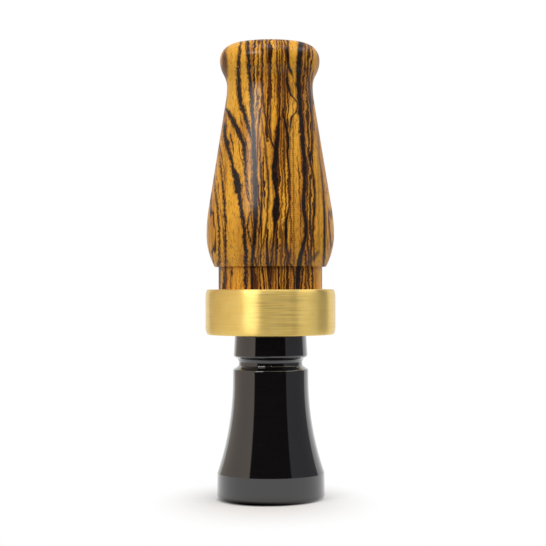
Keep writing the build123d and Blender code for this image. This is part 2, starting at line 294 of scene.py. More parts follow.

# %% [markdown]
# ## Bocote
#
# Bocote is a dense, oily hardwood: golden brown with near-black layers as uneven as brush
# strokes. The layers are sheets in the log, and turning slices through them, so a pattern in
# solid coordinates is right: what shows in front runs on inside the bore. The strongest layers
# are placed one by one, each as a curve of height with its own width.

# %% Dark layers, placed one by one
LAYERS = {  # height, distance across and width, in mm, from the lip down
    "right_black": [(122.5, 8.4, 1.5), (114, 7.7, 1.4), (86.5, 9.1, 1.1), (78, 8.8, 1.2),
        (71.5, 9.3, 0.9), (62.5, 7.4, 1.3), (56.5, 7.2, 1.3)],
    "left_black": [(122, -5.9, 0.8), (95.5, -4.3, 1.1), (70.5, -4, 1.1), (63.5, -4.7, 0.8),
        (56.5, -4.7, 0.9)],
    "middle_black": [(119.5, 1.8, 0.1), (114, 2.2, 0.3), (106, 2.4, 0.4), (100.5, 2.3, 0.7),
        (86, 1.3, 1.6), (80.5, 1.7, 1), (77, 1.6, 1.8), (72.5, 1.1, 0.8), (56.5, -0.1, 0.5)],
    "lip_slant": [(122.5, -7.5, 0.3), (108.5, -8.1, 1.1), (100, -5.9, 0.9), (95.5, -4.8, 0)],
    "upper_slant": [(105, -11.8, 0), (101, -9.7, 1.3), (93.5, -6.7, 1.1), (86.5, -6.3, 0.5),
        (76, -4.7, 0)],
    "lower_slant": [(101.5, -12.3, 0), (96.5, -11.7, 1.1), (91, -10.3, 0.8), (85, -8.7, 1.8),
        (79.5, -7.8, 1), (68.5, -6.5, 1), (56.5, -6.6, 0.8)],
    "left_inner": [(94, -13.7, 0), (80, -12.1, 0.5), (69, -11.7, 0.5), (56.5, -12.5, 0.5)],
    "left_outer": [(88, -15.3, 0), (74, -13.6, 0.4), (62, -13.6, 0.5)],
    "right_inner": [(115.5, 9.3, 0), (112.5, 10.3, 0.3), (107.5, 10.8, 0.5), (93.5, 11.1, 0.5),
        (91.5, 10.6, 0.9), (89.5, 10.6, 0.4), (87, 11.3, 0.5), (71, 11.1, 0.4), (61, 9.4, 0.2)],
    "right_outer": [(92, 13.1, 0), (82.5, 14.1, 0.5), (62.5, 14.2, 0.6)],
    "heart_left": [(121, -1.9, 0.3), (108.5, -1.9, 0.4), (97, -0.2, 0.4), (93.5, 1, 0.7),
        (91.5, 1.4, 0)],
    "heart_right": [(119.5, -0.9, 0.3), (105, 0.2, 0.3), (98.5, 0.1, 0.5), (94, 0.8, 0)],
    "thread_left": [(98.5, -3.1, 0), (82.5, -2.2, 0.5), (74, -2.5, 0.5), (63, -3.7, 0)],
    "thread_right": [(101.5, -2.2, 0), (89, -0.8, 0.4), (76, -0.6, 0.4), (72, -1.1, 0.4),
        (63, -3.3, 0.2)],
    "ripple_edge": [(115, 3.1, 0.2), (105, 3.8, 0.3), (102.5, 3.5, 0.6), (97.5, 4.6, 0.8),
        (93.5, 4.7, 0.7), (78, 5, 0.4), (72.5, 4, 0.9), (63.5, 5.1, 0.4), (61.5, 6, 0.5),
        (56.5, 6.2, 0.5)],
    "eye_top": [(121, 4.7, 0.3), (116, 4.8, 0.8), (112.5, 6.1, 0)],
    "eye_ring": [(112.5, 4.7, 0), (110, 4.9, 0.8), (108, 5.4, 0.7), (105.5, 7.2, 0.4),
        (103, 7, 0.4), (102, 5.9, 0.6), (97.5, 5.3, 0)],
    "lens": [(77.5, -4.6, 0), (75, -5.5, 0.4), (72, -5.8, 0.5), (69, -5.2, 0.4), (66.5, -4.5, 0)],
}
print("layers:", len(LAYERS))

# %% [markdown]
# Each layer becomes one curves node: height goes in, the red curve gives the place across, and
# the green curve gives the width. The result is how far inside the layer a point lies, in
# millimetres, so layers merge by taking the largest, and soft edges come from one ramp at the end.

# %% One layer as nodes
LOW, HIGH = 56.5, 122.5     # heights that the curves span
REACH = 18.0                # farthest layer from the axis
WIDEST = 8.0                # width at the top of the green curve


def layer_depth(tree, share_up, across, rows):
    """How far inside a layer a point lies, in mm; below 0 it is outside."""
    curve = add(tree, "RGBCurve", {"Color": share_up})
    curve.mapping.extend = "HORIZONTAL"
    rows = sorted(rows)
    for channel in (0, 1):
        points = curve.mapping.curves[channel].points
        while len(points) < len(rows):
            points.new(0.5, 0.5)
        for point, (height, place, width) in zip(points, rows):
            value = (width / WIDEST) if channel else (place + REACH) / (2 * REACH)
            point.location = ((height - LOW) / (HIGH - LOW), value)
    curve.mapping.update()
    read = add(tree, "SeparateColor", {0: curve.outputs[0]})
    middle = add(tree, "Math", {0: read.outputs[0], 1: 2 * REACH, 2: -REACH},
                 operation="MULTIPLY_ADD")
    gap = add(tree, "Math", {0: across, 1: middle.outputs[0]}, operation="SUBTRACT")
    gap = add(tree, "Math", {0: gap.outputs[0]}, operation="ABSOLUTE")
    half = add(tree, "Math", {0: read.outputs[1], 1: WIDEST / 2}, operation="MULTIPLY")
    depth = add(tree, "Math", {0: gap.outputs[0], 1: -1.0, 2: half.outputs[0]},
                operation="MULTIPLY_ADD")
    return depth.outputs[0]


def deepest(tree, depths):
    """The largest of several depths."""
    best = depths[0]
    for depth in depths[1:]:
        best = add(tree, "Math", {0: best, 1: depth}, operation="MAXIMUM").outputs[0]
    return best


# %% [markdown]
# Between the strong layers run dozens of thin ones, a growth season each. They come from a phase:
# every whole number is one layer. How close they lie changes across the log, so a drawn curve
# turns millimetres across into layer numbers. Left of the left black layer the seasons lean, as
# they do beside a limb, so there the phase leans with them. A fine wave along the grain gives
# their edges the small teeth that cut sheets show.

# %% A curve drawn through given points
def drawn_curve(tree, value, points, most):
    """An amount from 0 to most, read off straight runs between points."""
    first, last = points[0][0], points[-1][0]
    share = add(tree, "MapRange", {0: value, 1: first, 2: last})
    curve = add(tree, "FloatCurve", {"Value": share.outputs[0]})
    line = curve.mapping.curves[0].points
    while len(line) < len(points):
        line.new(0.5, 0.5)
    for spot, (at, amount) in zip(line, points):
        spot.location = ((at - first) / (last - first), amount / most)
        spot.handle_type = "VECTOR"
    curve.mapping.update()
    return add(tree, "Math", {0: curve.outputs[0], 1: most}, operation="MULTIPLY").outputs[0]


# %% Numbering the seasons
SEASONS = [(-18, 0), (-5, 11), (1, 17.2), (4.6, 21.4), (6.6, 22.9), (9, 25.4), (12, 29),
           (18, 35.5)]      # mm across, and the number of layers up to there
LEAN = [(56.5, 0), (72.5, 0), (84.5, 1.2), (88.5, 2.0), (104.5, 6.6), (109.5, 7.2),
        (122.5, 7.4)]       # height, and mm leant
LEAN_EDGE = -4.4            # mm across, under the left black layer
LEFT_LAYERS = SEASONS[1][1] / (SEASONS[1][0] - SEASONS[0][0])   # to a mm, where they lean
SERRATION, SERRATION_PITCH = 0.05, 1.15     # mm across, mm along
TOOTH_WANDER = 16.0         # radians that the wave wanders, so no two teeth match
SWIRL, WANDER = 6.0, 1.5    # layers that the wide and the fine noise move the phase


def season_number(tree, mm, height, across, ragging):
    """The phase: its whole part numbers a layer, and the rest is the place inside it."""
    stretched = add(tree, "VectorMath", {0: mm, 1: (0.11, 0.08, 0.022)}, operation="MULTIPLY")
    swirl = add(tree, "TexNoise", {"Vector": stretched.outputs[0], "Scale": 1.0, "Detail": 2.0,
                                   "Roughness": 0.5})
    stretched = add(tree, "VectorMath", {0: mm, 1: (0.5, 0.3, 0.10)}, operation="MULTIPLY")
    wander = add(tree, "TexNoise", {"Vector": stretched.outputs[0], "Scale": 1.0, "Detail": 2.0,
                                    "Roughness": 0.6})
    turn = add(tree, "Math", {0: height, 1: 2 * pi / SERRATION_PITCH}, operation="MULTIPLY")
    turn = add(tree, "Math", {0: wander.outputs[0], 1: TOOTH_WANDER, 2: turn.outputs[0]},
               operation="MULTIPLY_ADD")
    tooth = add(tree, "Math", {0: turn.outputs[0]}, operation="SINE")
    tooth = add(tree, "Math", {0: tooth.outputs[0], 1: ragging}, operation="MULTIPLY")
    serrated = add(tree, "Math", {0: tooth.outputs[0], 1: SERRATION, 2: across},
                   operation="MULTIPLY_ADD")
    leaning = add(tree, "Math", {0: across, 1: LEAN_EDGE}, operation="LESS_THAN")
    lean = add(tree, "Math", {0: drawn_curve(tree, height, LEAN, most=10.0), 1: leaning.outputs[0]},
               operation="MULTIPLY")
    lean = add(tree, "Math", {0: lean.outputs[0], 1: LEFT_LAYERS}, operation="MULTIPLY")
    phase = add(tree, "Math", {0: drawn_curve(tree, serrated.outputs[0], SEASONS, most=40.0),
                               1: lean.outputs[0]}, operation="ADD")
    phase = add(tree, "Math", {0: swirl.outputs[0], 1: SWIRL, 2: phase.outputs[0]},
                operation="MULTIPLY_ADD")
    phase = add(tree, "Math", {0: wander.outputs[0], 1: WANDER, 2: phase.outputs[0]},
                operation="MULTIPLY_ADD")
    return phase.outputs[0]


# %% [markdown]
# White noise, read at a layer's number, gives that layer its own width and darkness. A second
# drawn curve says how crowded the dark lines are across the log, and two more tables of
# strips thin the lines out to clear gold, or crowd them.

# %% Thin layers
CROWD = [(-18, 0.20), (-12.6, 0.18), (-11.6, 0.04), (-5.0, 0.04), (-4.4, 0.42), (1.0, 0.46),
         (1.8, 0.66), (4.4, 0.66), (5.0, 0.06), (6.4, 0.06), (7.0, 0.48), (11.4, 0.52),
         (12.2, 0.06), (15, 0.10), (18, 0.26)]      # mm across, width added; 0.5 is even
CLEAR_STRIPS = {
    "lip_left": [(122.5, -9.2, 3.4), (114, -9.6, 4.0), (106, -10.4, 2.6), (100, -11.0, 0)],
    "beside_left_black": [(121, -6.9, 0.6), (112, -6.5, 1.2), (100, -5.3, 0.6), (96, -5.2, 0)],
    "lip_right": [(121, 6.1, 1.6), (114, 6.2, 2.0), (111, 6.0, 0)],
    "eye": [(107, 6.1, 0), (105.4, 6.1, 1.5), (102, 6.0, 1.5), (100.5, 6.0, 0)],
    "below_eye": [(99.5, 6.2, 0), (97, 6.2, 1.3), (80, 6.3, 1.6), (70, 6.8, 1.6), (62, 6.9, 0)],
    "left_of_middle": [(99, -1.6, 0), (92, -1.0, 0.8), (76, -0.9, 1.0), (68, -2.0, 0)],
    "belly_left": [(92, -8.6, 0), (84, -10.4, 1.8), (72, -9.6, 2.4), (64, -9.4, 1.6),
        (61, -9.2, 0)],
    "belly_right": [(98, 12.0, 0), (86, 12.6, 2.2), (72, 13.0, 2.6), (63, 12.8, 1.8),
        (61, 12.6, 0)],
}
DENSE_AND_SHADE_STRIPS = {
    # The foot strips are partly painted shade: they crowd dark lines on the lower front, under the
    # belly.
    "foot": [(74.5, 2.0, 0), (69.5, 1.8, 4.6), (64.5, 1.4, 8.0), (56.5, 1.2, 8.6)],
    "foot_left": [(62.5, -9.6, 0), (61.5, -9.6, 5.0), (56.5, -9.6, 6.0)],
    "right": [(92, 10.2, 0), (86, 10.2, 1.8), (72, 10.2, 1.8), (66, 9.6, 2.4), (56.5, 9.4, 3.0)],
    "ripple": [(119.5, 3.4, 1.6), (104, 3.2, 2.6), (96, 3.4, 2.2), (86, 3.2, 2.0), (78, 3.2, 0)],
}
CLEARED, CROWDED = 0.75, 0.19               # width taken and added in the strips
NARROWEST, BROADEST = 0.10, 0.68            # dark share of a season, before the rest is added
FADING = 0.8                                # width that comes and goes along a layer
FADE_AND_CROWD = 0.88                       # about what an even fade and crowd add, taken off
FAINTEST, DARKEST = 0.45, 0.97              # cover of a layer
SEASON_WIDTH = 0.8                          # mm


def share_inside(tree, share_up, across, strips):
    """1 inside any of the strips and 0 outside, with a soft edge a millimetre wide."""
    depth = deepest(tree, [layer_depth(tree, share_up, across, rows) for rows in strips.values()])
    return add(tree, "MapRange", {0: depth, 1: -0.5, 2: 0.5},
               interpolation_type="SMOOTHSTEP").outputs[0]


def thin_layers(tree, mm, phase, across, clear, crowded_and_shaded):
    """Depth inside the thin growth layers, in mm, and how dark each one is."""
    number = add(tree, "Math", {0: phase}, operation="FLOOR")
    own = add(tree, "TexWhiteNoise", {"W": number.outputs[0]}, noise_dimensions="1D")
    own = add(tree, "SeparateColor", {0: own.outputs["Color"]})
    width = add(tree, "MapRange", {0: own.outputs[0], 1: 0.0, 2: 1.0, 3: NARROWEST, 4: BROADEST})
    stretched = add(tree, "VectorMath", {0: mm, 1: (0.9, 0.5, 0.09)}, operation="MULTIPLY")
    fade = add(tree, "TexNoise", {"Vector": stretched.outputs[0], "Scale": 1.0, "Detail": 1.0})
    width = add(tree, "Math", {0: width.outputs[0], 1: FADE_AND_CROWD}, operation="SUBTRACT")
    width = add(tree, "Math", {0: fade.outputs[0], 1: FADING, 2: width.outputs[0]},
                operation="MULTIPLY_ADD")
    width = add(tree, "Math", {0: width.outputs[0], 1: drawn_curve(tree, across, CROWD, most=1.0)},
                operation="ADD")
    for share, amount in ((clear, -CLEARED), (crowded_and_shaded, CROWDED)):
        width = add(tree, "Math", {0: share, 1: amount, 2: width.outputs[0]},
                    operation="MULTIPLY_ADD")
    spread = add(tree, "Math", {0: phase}, operation="FRACT")
    spread = add(tree, "Math", {0: spread.outputs[0], 1: 0.5}, operation="SUBTRACT")
    spread = add(tree, "Math", {0: spread.outputs[0]}, operation="ABSOLUTE")
    half = add(tree, "Math", {0: width.outputs[0], 1: 0.5}, operation="MULTIPLY")
    inside = add(tree, "Math", {0: half.outputs[0], 1: spread.outputs[0]}, operation="SUBTRACT")
    inside = add(tree, "Math", {0: inside.outputs[0], 1: SEASON_WIDTH}, operation="MULTIPLY")
    dark = add(tree, "MapRange", {0: own.outputs[1], 1: 0.15, 2: 0.50, 3: FAINTEST, 4: DARKEST})
    return inside.outputs[0], dark.outputs[0]


# %% [markdown]
# Every pattern reads one place: the height, and the distance across the sheets. A small noise
# wanders that distance, which makes all the edges ragged alike. Where the cut runs along the
# sheets, at the sides, the same wander would tear them to islands, so it is weaker there. Behind
# the axis the sheets drift, so the back isn't the front again.

# %% Place in the log
SIDE_START, SIDE_END = 10.0, 15.0   # mm from the middle, where the raggedness fades
SIDE_RAGGING = 0.25
DRIFT = 26.0                        # mm across, from the noise's lowest to its highest
DRIFT_DEPTH = 16.0                  # mm behind the axis where the drift is whole


def place_in_log(tree, mm):
    """Height, share of the height, mm across the sheets, raggedness, and the noise behind it."""
    part = add(tree, "SeparateXYZ", {0: mm})
    share_up = add(tree, "MapRange", {0: part.outputs["Z"], 1: LOW, 2: HIGH}).outputs[0]
    stretched = add(tree, "VectorMath", {0: mm, 1: (0.7, 0.5, 0.45)}, operation="MULTIPLY")
    ragged = add(tree, "TexNoise", {"Vector": stretched.outputs[0], "Scale": 1.0, "Detail": 2.0,
                                    "Roughness": 0.5}).outputs[0]
    aside = add(tree, "Math", {0: part.outputs["X"]}, operation="ABSOLUTE")
    ragging = add(tree, "MapRange", {0: aside.outputs[0], 1: SIDE_START, 2: SIDE_END,
                                     3: 1.0, 4: SIDE_RAGGING}).outputs[0]
    across = add(tree, "Math", {0: ragged, 1: 0.5}, operation="SUBTRACT")
    across = add(tree, "Math", {0: across.outputs[0], 1: ragging, 2: part.outputs["X"]},
                 operation="MULTIPLY_ADD")
    behind = add(tree, "MapRange", {0: part.outputs["Y"], 1: 0.0, 2: DRIFT_DEPTH},
                 interpolation_type="SMOOTHSTEP")
    stretched = add(tree, "VectorMath", {0: mm, 1: (0.02, 0.03, 0.035)}, operation="MULTIPLY")
    drift = add(tree, "TexNoise", {"Vector": stretched.outputs[0], "Scale": 1.0})
    drift = add(tree, "Math", {0: drift.outputs[0], 1: 0.35}, operation="SUBTRACT")
    drift = add(tree, "Math", {0: drift.outputs[0], 1: behind.outputs[0]}, operation="MULTIPLY")
    across = add(tree, "Math", {0: drift.outputs[0], 1: DRIFT, 2: across.outputs[0]},
                 operation="MULTIPLY_ADD").outputs[0]
    return part.outputs["Z"], share_up, across, ragging, ragged


# %% [markdown]
# Stains go over the ground one after another, each by how deep inside its pattern a point lies.
# The gold strip right of the middle also has a fiddleback: fine bars across the grain.

# %% Stains and fiddleback
FIDDLEBACK_PITCH = 0.62             # mm
FIDDLEBACK_MIDDLE = 5.7             # mm across
FIDDLEBACK_EDGE = 0.5, 1.2          # mm from the middle, where the bars fade
FIDDLEBACK_TOP = 96.0, 101.0        # heights between which the bars fade out, under the eye


def stained(tree, colour, depth, edge, most, stain):
    """A stain laid over a colour: none at the edge's first depth, the most at its second."""
    share = add(tree, "MapRange", {0: depth, 1: edge[0], 2: edge[1], 4: most},
                interpolation_type="SMOOTHSTEP")
    return add(tree, "Mix", {0: share.outputs[0], 6: colour, 7: tone(stain)},
               data_type="RGBA").outputs[2]


def fiddleback(tree, height, across, ragged):
    """How dark the bars across the gold strip are, from 0 to a half."""
    strip = add(tree, "Math", {0: across, 1: FIDDLEBACK_MIDDLE}, operation="SUBTRACT")
    strip = add(tree, "Math", {0: strip.outputs[0]}, operation="ABSOLUTE")
    strip = add(tree, "MapRange", {0: strip.outputs[0], 1: FIDDLEBACK_EDGE[0],
                                   2: FIDDLEBACK_EDGE[1], 3: 0.5, 4: 0.0})
    bars = add(tree, "Math", {0: height, 1: 2 * pi / FIDDLEBACK_PITCH}, operation="MULTIPLY")
    bars = add(tree, "Math", {0: ragged, 1: 9.0, 2: bars.outputs[0]}, operation="MULTIPLY_ADD")
    bars = add(tree, "Math", {0: bars.outputs[0]}, operation="SINE")
    bars = add(tree, "Math", {0: bars.outputs[0], 1: strip.outputs[0]}, operation="MULTIPLY",
               use_clamp=True)
    top = add(tree, "MapRange", {0: height, 1: FIDDLEBACK_TOP[0], 2: FIDDLEBACK_TOP[1],
                                 3: 1.0, 4: 0.0})
    return add(tree, "Math", {0: bars.outputs[0], 1: top.outputs[0]},
               operation="MULTIPLY").outputs[0]


# %% [markdown]
# The finished wood stacks those parts: gold and amber ground, wide umber zones, thin brown
# layers, then the black ones with a red-brown fringe. At the foot the umber and the crowded lines
# are partly the wood's own and partly painted shade, darkening the lower front under the belly.
# The clear strips are pale as well as clean, most of all round the lip. Pores are short dark
# dashes along the grain. Real ones are about 0.1 mm wide; they are drawn twice as wide so that
# they show. Satin lacquer fills the wood flush, so only its skin reflects: the wood's own
# specular is off and the coat does that work.

# %% Bocote material
UMBER_AND_SHADE_ZONES = {
    "right_neck": [(120.5, 10.0, 2.4), (110.5, 10.2, 2.4), (98.5, 10.2, 1.4), (88.5, 10.2, 0)],
    # The foot zone is partly painted shade: umber on the lower front, from 74.5 mm down, under the
    # belly.
    "foot": [(74.5, 2.0, 0), (69.5, 1.4, 3.6), (64.5, 0.4, 6.5), (56.5, 0.2, 7.5)],
}
GREY_FLECKS = {
    "lip_edge": [(119.5, -12.0, 0), (117.5, -12.0, 1.8), (114.5, -12.1, 1.9), (112.5, -12.1, 1.0),
        (111, -11.8, 0)],
    "foot_fleck": [(63, 9.8, 0), (64, 10.8, 1.2), (65.5, 12, 1.2), (66.5, 12.8, 0)],
}
PALE_FOOT, PALE_FULL = 97.0, 103.0  # heights between which the clear strips turn palest
PALE_BELOW = 0.4
FRAYED, CLEAN = -5.8, -4.2          # mm across: black edges fray most left of the first
PORE_DEPTH, PORE_COVER = 0.04 * MM, 0.6


def bocote():
    """Bocote, turned and sanded, under satin lacquer."""
    made, tree, mm = new_material("bocote_satin_lacquer")
    height, share_up, across, ragging, ragged = place_in_log(tree, mm)

    stretched = add(tree, "VectorMath", {0: mm, 1: (0.40, 0.25, 0.035)}, operation="MULTIPLY")
    clouds = add(tree, "TexNoise", {"Vector": stretched.outputs[0], "Scale": 1.0, "Detail": 3.0,
                                    "Roughness": 0.6})
    colour = stained(tree, tone("#E6A32E"), clouds.outputs[0], (0.40, 0.64), 1.0, "#C07E22")
    clear, crowded_and_shaded = (share_inside(tree, share_up, across, strips)
                      for strips in (CLEAR_STRIPS, DENSE_AND_SHADE_STRIPS))
    pale = add(tree, "MapRange", {0: height, 1: PALE_FOOT, 2: PALE_FULL, 3: PALE_BELOW, 4: 1.0})
    pale = add(tree, "Math", {0: pale.outputs[0], 1: clear}, operation="MULTIPLY")
    colour = add(tree, "Mix", {0: pale.outputs[0], 6: colour, 7: tone("#EBAA35")},
                 data_type="RGBA").outputs[2]
    for strips, edge, most, stain in ((UMBER_AND_SHADE_ZONES, (-0.8, 0.8), 0.45, "#8A5A2C"),
                                      (GREY_FLECKS, (-0.5, 0.5), 0.8, "#4E3C2A")):
        depth = deepest(tree, [layer_depth(tree, share_up, across, rows)
                               for rows in strips.values()])
        colour = stained(tree, colour, depth, edge, most, stain)
    bars = fiddleback(tree, height, across, ragged)
    colour = add(tree, "Mix", {0: bars, 6: colour, 7: tone("#8A4E12")}, data_type="RGBA").outputs[2]

    phase = season_number(tree, mm, height, across, ragging)
    thin, dark = thin_layers(tree, mm, phase, across, clear, crowded_and_shaded)
    colour = stained(tree, colour, thin, (-0.10, 0.03), 0.70, "#7A3E0E")
    colour = stained(tree, colour, thin, (-0.03, 0.09), dark, "#260F03")

    strong = deepest(tree, [layer_depth(tree, share_up, across, rows) for rows in LAYERS.values()])
    stretched = add(tree, "VectorMath", {0: mm, 1: (2.6, 2.6, 1.3)}, operation="MULTIPLY")
    speck = add(tree, "TexNoise", {"Vector": stretched.outputs[0], "Scale": 1.0, "Detail": 2.0,
                                   "Roughness": 0.6})
    fraying = add(tree, "MapRange", {0: across, 1: FRAYED, 2: CLEAN, 3: 1.5, 4: 0.3})
    speck = add(tree, "Math", {0: speck.outputs[0], 1: 0.5}, operation="SUBTRACT")
    strong = add(tree, "Math", {0: speck.outputs[0], 1: fraying.outputs[0], 2: strong},
                 operation="MULTIPLY_ADD").outputs[0]
    colour = stained(tree, colour, strong, (-0.40, 0.02), 0.72, "#6B3A17")
    colour = stained(tree, colour, strong, (-0.06, 0.20), 1.0, "#16100E")

    stretched = add(tree, "VectorMath", {0: mm, 1: (3.4, 3.4, 0.6)}, operation="MULTIPLY")
    grain = add(tree, "TexNoise", {"Vector": stretched.outputs[0], "Scale": 1.0, "Detail": 2.0,
                                   "Roughness": 0.5})
    pores = add(tree, "MapRange", {0: grain.outputs[0], 1: 0.53, 2: 0.68})
    pores = add(tree, "Math", {0: pores.outputs[0], 1: PORE_COVER}, operation="MULTIPLY")
    colour = add(tree, "Mix", {0: pores.outputs[0], 6: colour, 7: tone("#4A2A12")},
                 data_type="RGBA").outputs[2]
    relief = add(tree, "Bump", {"Height": grain.outputs[0], "Strength": 0.45,
                                "Distance": PORE_DEPTH}, invert=True)
    shader = add(tree, "BsdfPrincipled", {"Base Color": colour, "Roughness": 0.6, "IOR": 1.5,
                                          "Specular IOR Level": 0.0, "Coat Weight": 0.5,
                                          "Coat Roughness": 0.29, "Coat IOR": 1.5,
                                          "Normal": relief.outputs[0]})
    return finish_material(made, tree, shader)


# %% [markdown]
# ## Brushed brass
#
# The band is turned from brass tube, and fine paper held to it while it spins leaves scratches
# that run round it. Such scratches smear every reflection across themselves, up and down, so a
# brushed ring shows upright bars of light. The shader's anisotropy does that; its default
# tangent runs round Z, and a quarter turn sets the smear upright. Real scratches are a few
# hundredths of a millimetre apart; these are drawn a quarter of a millimetre apart so they show.
# Coarser marks, a third of a millimetre apart and one or two centimetres long, are left where
# the paper bunched up. They are darker as well as deeper, and heaviest near the middle of the
# front and back.

# %% Brass material
BRUSH_LINES = (0.10, 0.10, 4.0), 4.0        # noise steps to a mm, and detail
PAPER_MARKS = (0.06, 0.06, 3.4), 2.0
MARKED_MIDDLE = 2.0                         # mm right of the axis
MARKED_START, MARKED_END = 4.5, 8.0         # mm from there, where the marks grow lighter
HEAVY, LIGHT = 0.50, 0.10
LINE_DEPTH, MARK_DEPTH = 0.02 * MM, 0.04 * MM


def brushed_brass():
    """Yellow brass, turned and brushed round with fine paper."""
    made, tree, mm = new_material("yellow_brass_lathe_brushed")
    noises = []
    for steps, detail in (BRUSH_LINES, PAPER_MARKS):
        stretched = add(tree, "VectorMath", {0: mm, 1: steps}, operation="MULTIPLY")
        noises.append(add(tree, "TexNoise", {"Vector": stretched.outputs[0], "Scale": 1.0,
                                             "Detail": detail, "Roughness": 0.7}))
    lines, marks = (noise_node.outputs[0] for noise_node in noises)
    rough = add(tree, "MapRange", {0: lines, 1: 0.3, 2: 0.7, 3: 0.36, 4: 0.44})
    worn = add(tree, "TexNoise", {"Vector": mm, "Scale": 0.35, "Detail": 3.0})
    colour = add(tree, "Mix", {0: worn.outputs[0], 6: tone("#FDE08A"), 7: tone("#F3CD6E")},
                 data_type="RGBA")
    part = add(tree, "SeparateXYZ", {0: mm})
    aside = add(tree, "Math", {0: part.outputs["X"], 1: MARKED_MIDDLE}, operation="SUBTRACT")
    aside = add(tree, "Math", {0: aside.outputs[0]}, operation="ABSOLUTE")
    heavy = add(tree, "MapRange", {0: aside.outputs[0], 1: MARKED_START, 2: MARKED_END,
                                   3: HEAVY, 4: LIGHT})
    deep = add(tree, "MapRange", {0: marks, 1: 0.46, 2: 0.64, 4: heavy.outputs[0]})
    colour = add(tree, "Mix", {0: deep.outputs[0], 6: colour.outputs[2], 7: tone("#B9924A")},
                 data_type="RGBA")
    relief = add(tree, "Bump", {"Height": lines, "Strength": 0.3, "Distance": LINE_DEPTH})
    relief = add(tree, "Bump", {"Height": marks, "Strength": 1.0, "Distance": MARK_DEPTH,
                                "Normal": relief.outputs[0]})
    shader = add(tree, "BsdfPrincipled", {"Base Color": colour.outputs[2], "Metallic": 1.0,
                                          "Roughness": rough.outputs[0], "Anisotropic": 1.0,
                                          "Anisotropic Rotation": 0.25,
                                          "Normal": relief.outputs[0]})
    return finish_material(made, tree, shader)


# %% [markdown]
# ## Black acrylic
#
# The insert is turned and milled from cast acrylic rod, then buffed on a wheel. Black acrylic is
# almost all reflection: a near-black body under a clear skin. The coat doubles the reflection to
# what such a rod shows, and a slight unevenness in the gloss is left by the buffing.

# %% Acrylic material
def black_acrylic():
    """Cast acrylic rod, black, buffed to a high gloss."""
    made, tree, mm = new_material("black_acrylic_buffed")
    stretched = add(tree, "VectorMath", {0: mm, 1: (0.25, 0.25, 1.3)}, operation="MULTIPLY")
    buffing = add(tree, "TexNoise", {"Vector": stretched.outputs[0], "Scale": 1.0, "Detail": 3.0})
    rough = add(tree, "MapRange", {0: buffing.outputs[0], 1: 0.35, 2: 0.65, 3: 0.03, 4: 0.07})
    colour = add(tree, "Mix", {0: buffing.outputs[0], 6: tone("#080708"), 7: tone("#100E0F")},
                 data_type="RGBA")
    relief = add(tree, "Bump", {"Height": buffing.outputs[0], "Strength": 0.15,
                                "Distance": 0.01 * MM})
    shader = add(tree, "BsdfPrincipled", {"Base Color": colour.outputs[2],
                                          "Roughness": rough.outputs[0], "IOR": 1.49,
                                          "Coat Weight": 1.0, "Coat Roughness": 0.02,
                                          "Coat IOR": 1.5, "Normal": relief.outputs[0]})
    return finish_material(made, tree, shader)


# %% [markdown]
# The turned solids already have the right shapes and smooth shading, so they stay, and each
# only gets its material.

# %% Dress the turned solids
def dress(node, material):
    """Give a CAD node its material."""
    mesh = nodes[node].data
    mesh.materials.clear()
    mesh.materials.append(material)
    print("dressed:", node)


dress("barrel", bocote())
dress("barrel_band", brushed_brass())
dress("insert", black_acrylic())

# %% [markdown]
# ## O-rings
#
# The two rings that seal the joint are moulded nitrile rubber. The rubber is black and slightly
# grainy, and a trace of grease gives it a low, wide shine.

# %% Rubber material
def nitrile_rubber():
    """Moulded nitrile, greased."""
    made, tree, mm = new_material("nitrile_rubber_moulded")
    grain = add(tree, "TexNoise", {"Vector": mm, "Scale": 5.0, "Detail": 4.0, "Roughness": 0.7})
    greased = add(tree, "TexNoise", {"Vector": mm, "Scale": 0.4, "Detail": 2.0})
    rough = add(tree, "MapRange", {0: greased.outputs[0], 1: 0.4, 2: 0.6, 3: 0.38, 4: 0.62})
    colour = add(tree, "Mix", {0: grain.outputs[0], 6: tone("#161617"), 7: tone("#242425")},
                 data_type="RGBA")
    relief = add(tree, "Bump", {"Height": grain.outputs[0], "Strength": 0.4,
                                "Distance": 0.03 * MM})
    shader = add(tree, "BsdfPrincipled", {"Base Color": colour.outputs[2],
                                          "Roughness": rough.outputs[0], "IOR": 1.52,
                                          "Normal": relief.outputs[0]})
    return finish_material(made, tree, shader)


rubber = nitrile_rubber()
dress("rear_o_ring", rubber)
dress("front_o_ring", rubber)

# %% [markdown]
# ## Reeds
#
# A reed is a strip cut from frosted polyester drafting film, with its tip corners rounded off.
# The upper one has a dimple, pressed in with a punch, that holds it off the lower one. Each is
# drawn as one flat face, cut across many times so that it can bend, shaped by moving vertices,
# and given its thickness last. The upper one lifts away only beyond the wedge's reach, which
# leaves the wedge room to slide out over it.

# %% Cutting a shape into bands
def cut_bands(shape, along, places):
    """Cut right through a shape, square to a direction, at each of these places."""
    for place in places:
        bmesh.ops.bisect_plane(shape, geom=shape.verts[:] + shape.edges[:] + shape.faces[:],
                               plane_co=along * place, plane_no=along)


def even_steps(start, end, step):
    """Places between two ends, about a step apart."""
    count = max(1, round((end - start) / step))
    return [start + (end - start) * i / count for i in range(1, count)]


def finished_piece(name, shape, material):
    """A bmesh as an object with its material and slot."""
    bmesh.ops.recalc_face_normals(shape, faces=shape.faces[:])
    mesh = bpy.data.meshes.new(name)
    shape.to_mesh(mesh)
    shape.free()
    made = bpy.data.objects.new(name, mesh)
    made.data.materials.append(material)
    bpy.context.scene.collection.objects.link(made)
    print("piece:", name, len(mesh.polygons), "faces")
    return made


# %% [markdown]
# Drafting film is polyester, rolled clear and then frosted with a mineral coat that pencils can
# bite. The frost scatters light both ways, so the film looks milky and lets the black board
# show through. Its finest speckle is a hundredth of a millimetre; it is drawn at a third of one.

